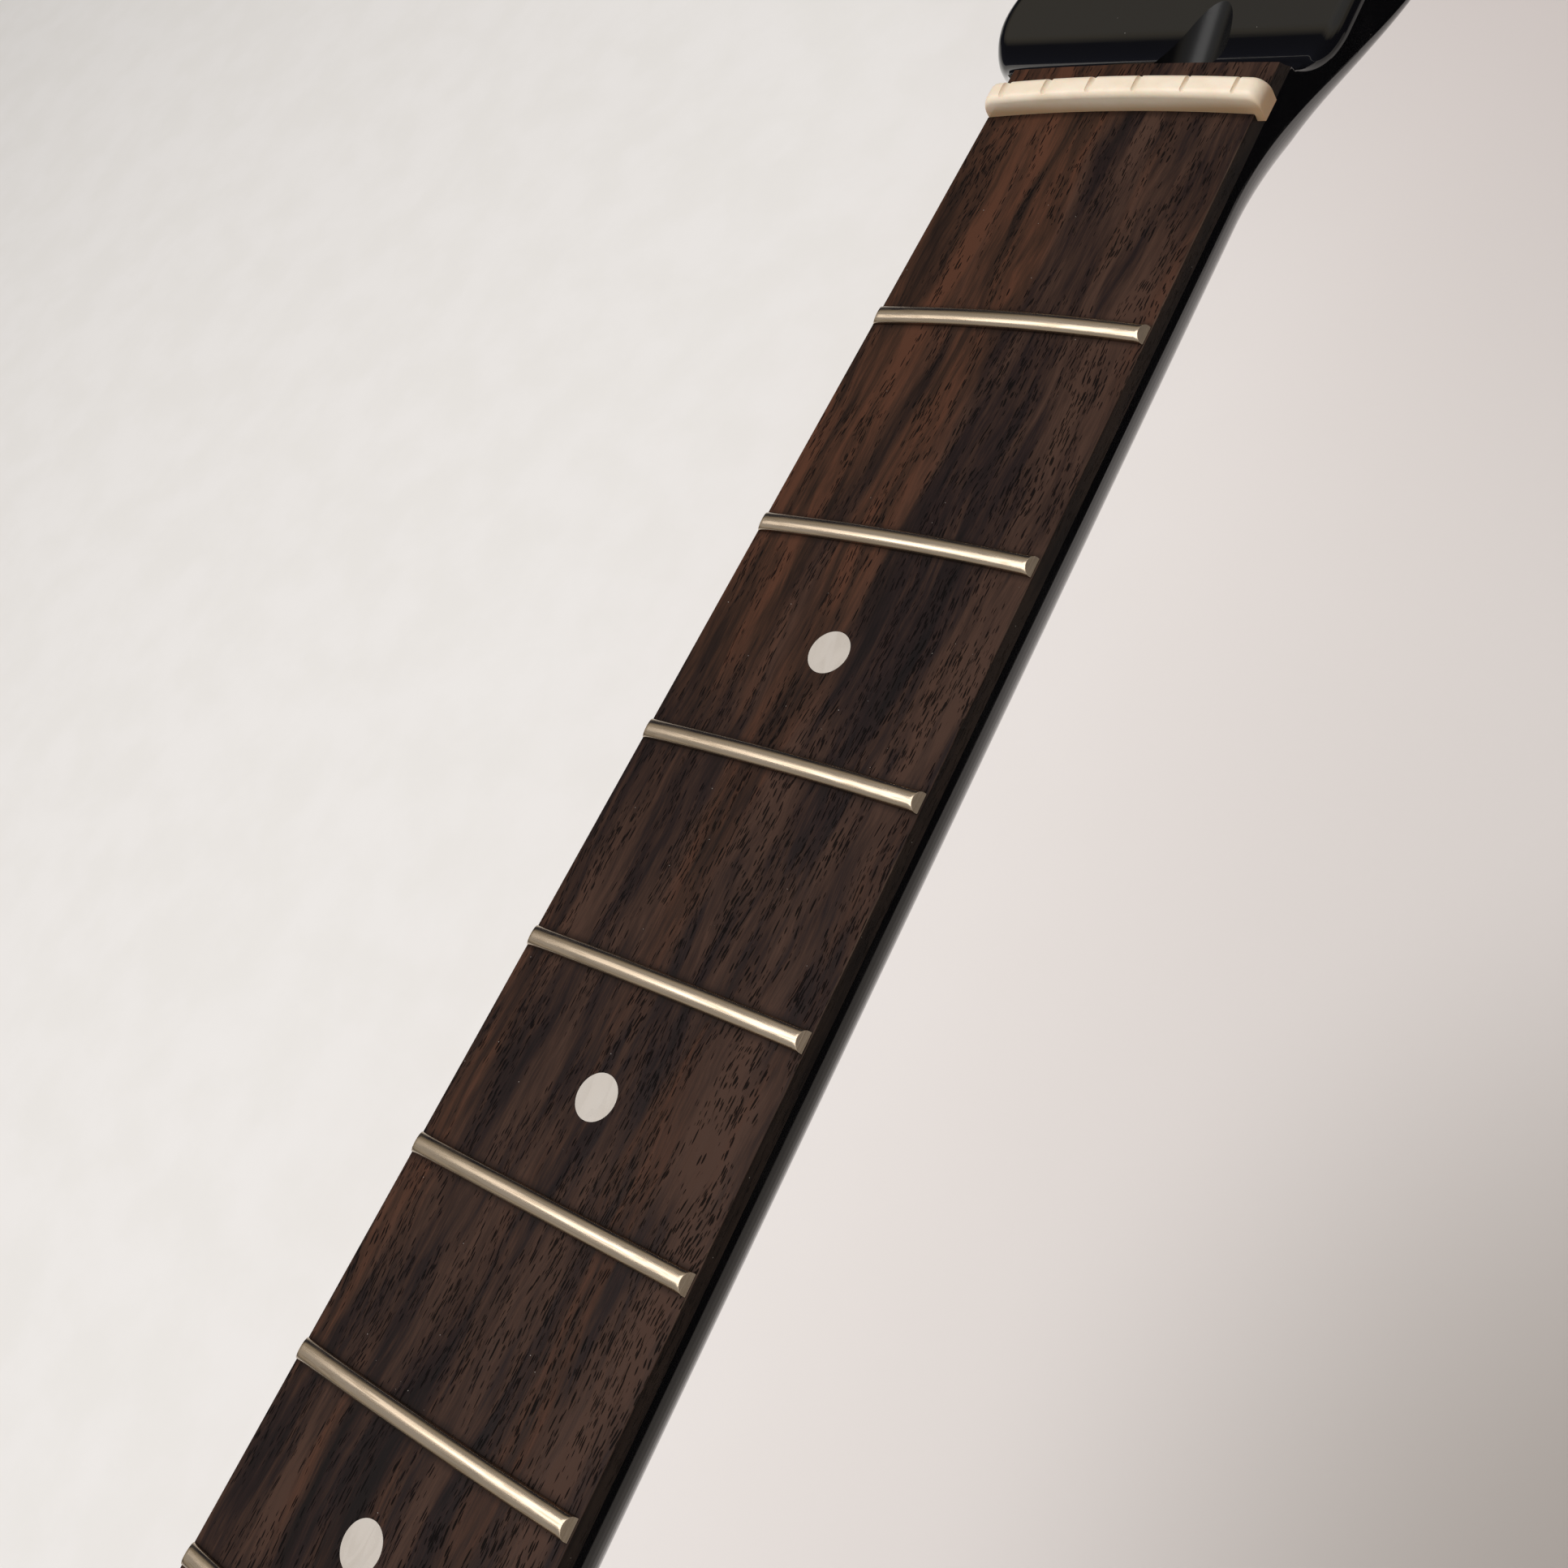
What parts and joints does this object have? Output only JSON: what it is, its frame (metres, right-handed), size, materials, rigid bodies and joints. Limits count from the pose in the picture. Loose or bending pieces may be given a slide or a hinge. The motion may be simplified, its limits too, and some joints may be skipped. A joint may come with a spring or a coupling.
{
  "type": "electric guitar neck",
  "caption": "Bolt-on guitar neck in black lacquer with a flat one-sided headstock, a radiused fretted fingerboard with dot inlays, a seated nut and an adjustable truss rod.",
  "frame": {"origin": "middle of the four-screw pattern on the heel's flat seat face", "axes": "+X towards the treble side, +Y along the neck towards the headstock's tip, +Z out of the fingerboard"},
  "size_m": [0.0728, 0.6639, 0.0283],
  "materials": {
    "lacquer": "gloss black lacquer",
    "rosewood": "bare, oiled",
    "bone": "satin",
    "fret_wire": "polished nickel silver",
    "pearl": "pearl",
    "steel": "plain",
    "brass": "plain"
  },
  "bodies": {
    "neck_body": {"neck": "lacquer", "fingerboard": "rosewood", "nut": "bone", "fret_01": "fret_wire", "fret_02": "fret_wire", "fret_03": "fret_wire", "fret_04": "fret_wire", "fret_05": "fret_wire", "fret_06": "fret_wire", "fret_07": "fret_wire", "fret_08": "fret_wire", "fret_09": "fret_wire", "fret_10": "fret_wire", "fret_11": "fret_wire", "fret_12": "fret_wire", "fret_13": "fret_wire", "fret_14": "fret_wire", "fret_15": "fret_wire", "fret_16": "fret_wire", "fret_17": "fret_wire", "fret_18": "fret_wire", "fret_19": "fret_wire", "fret_20": "fret_wire", "fret_21": "fret_wire", "fret_22": "fret_wire", "dot_03": "pearl", "dot_05": "pearl", "dot_07": "pearl", "dot_09": "pearl", "dot_12_a": "pearl", "dot_12_b": "pearl", "dot_15": "pearl", "dot_17": "pearl", "dot_19": "pearl", "dot_21": "pearl", "side_dot_03": "pearl", "side_dot_05": "pearl", "side_dot_07": "pearl", "side_dot_09": "pearl", "side_dot_12_a": "pearl", "side_dot_12_b": "pearl", "side_dot_15": "pearl", "side_dot_17": "pearl", "side_dot_19": "pearl", "side_dot_21": "pearl", "truss_rod_bar": "steel", "truss_rod_front_block": "brass", "truss_rod_heel_block": "brass"},
    "truss_rod_adjuster": {"truss_rod_adjusting_nut": "steel", "truss_rod_threaded_rod": "steel"}
  },
  "joints": [
    {"name": "truss_rod_turn", "type": "hinge", "parent": "neck_body", "child": "truss_rod_adjuster", "pos_m": [0, 0.4265, 0.0141], "axis": [0, 1, 0], "range_deg": [-450, 450]}
  ]
}
